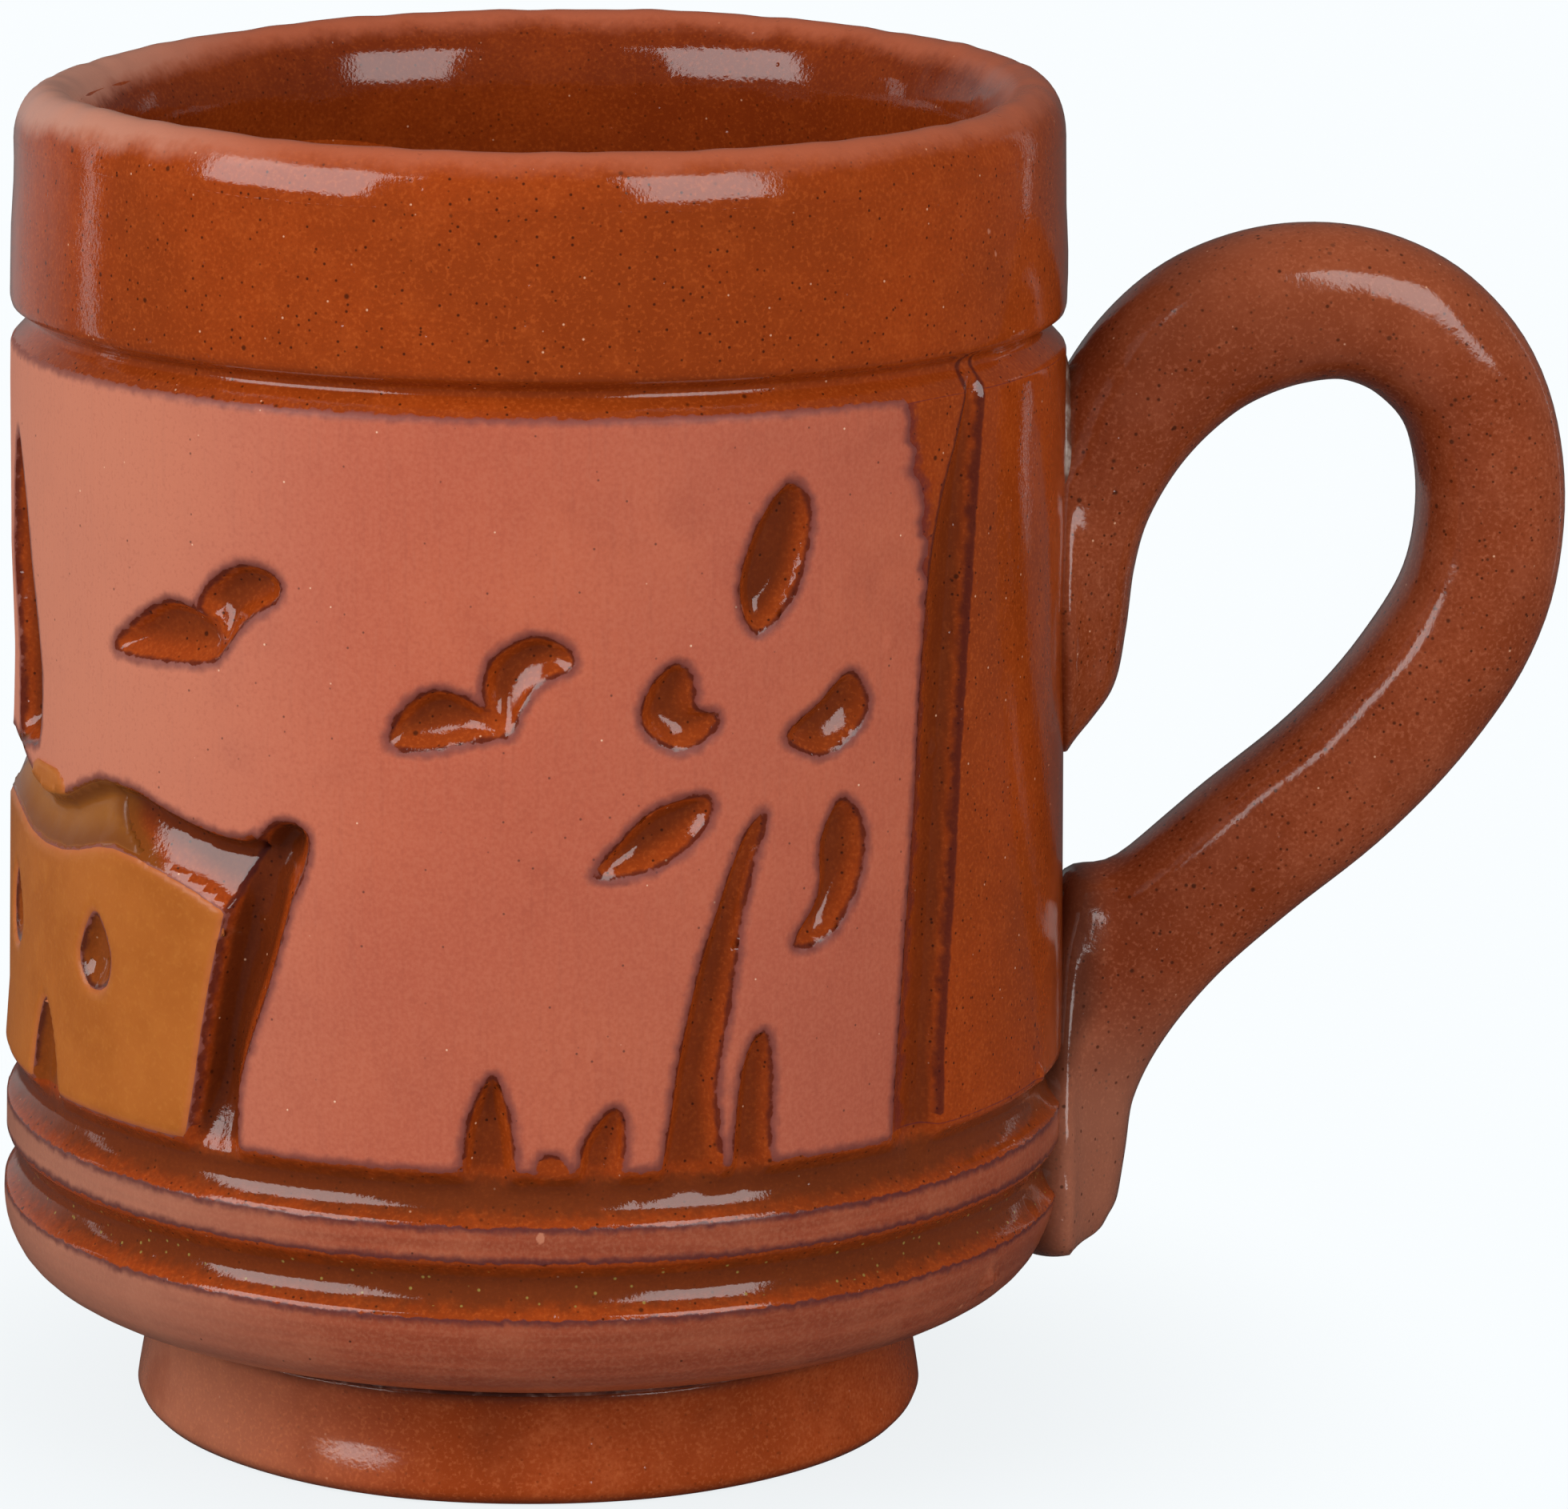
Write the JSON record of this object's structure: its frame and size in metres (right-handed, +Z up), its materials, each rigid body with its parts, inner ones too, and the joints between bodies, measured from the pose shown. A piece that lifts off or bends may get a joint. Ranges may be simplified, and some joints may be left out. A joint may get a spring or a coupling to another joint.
{
  "type": "jarrito clay mug",
  "caption": "Round handmade clay mug with a rolled lip, carved panel, turned grooves, foot ring and a coil ear handle.",
  "frame": {"origin": "on the cup's axis, in the plane that the foot ring stands on", "axes": "+Z up along the cup's axis, +X out through the middle of the handle, +Y across the handle"},
  "size_m": [0.1221, 0.083, 0.1045],
  "materials": {
    "bisque_clay": "matt red earthenware, burnished smooth, with glazed zones",
    "glazed_foot": "glossy transparent amber glaze over red clay",
    "glazed_handle": "glossy transparent amber glaze over red clay",
    "joint_slip": "pale luting slip under glaze",
    "ochre_engobe": "matt ochre engobe",
    "lining_glaze": "glossy dark amber glaze"
  },
  "bodies": {
    "root": {"cup_body": "bisque_clay", "foot_ring": "glazed_foot", "handle": "glazed_handle", "upper_joint_slip": "joint_slip", "lower_joint_slip": "joint_slip", "foot_joint_slip": "joint_slip", "hut_engobe": "ochre_engobe", "lining_glaze": "lining_glaze"}
  },
  "joints": []
}
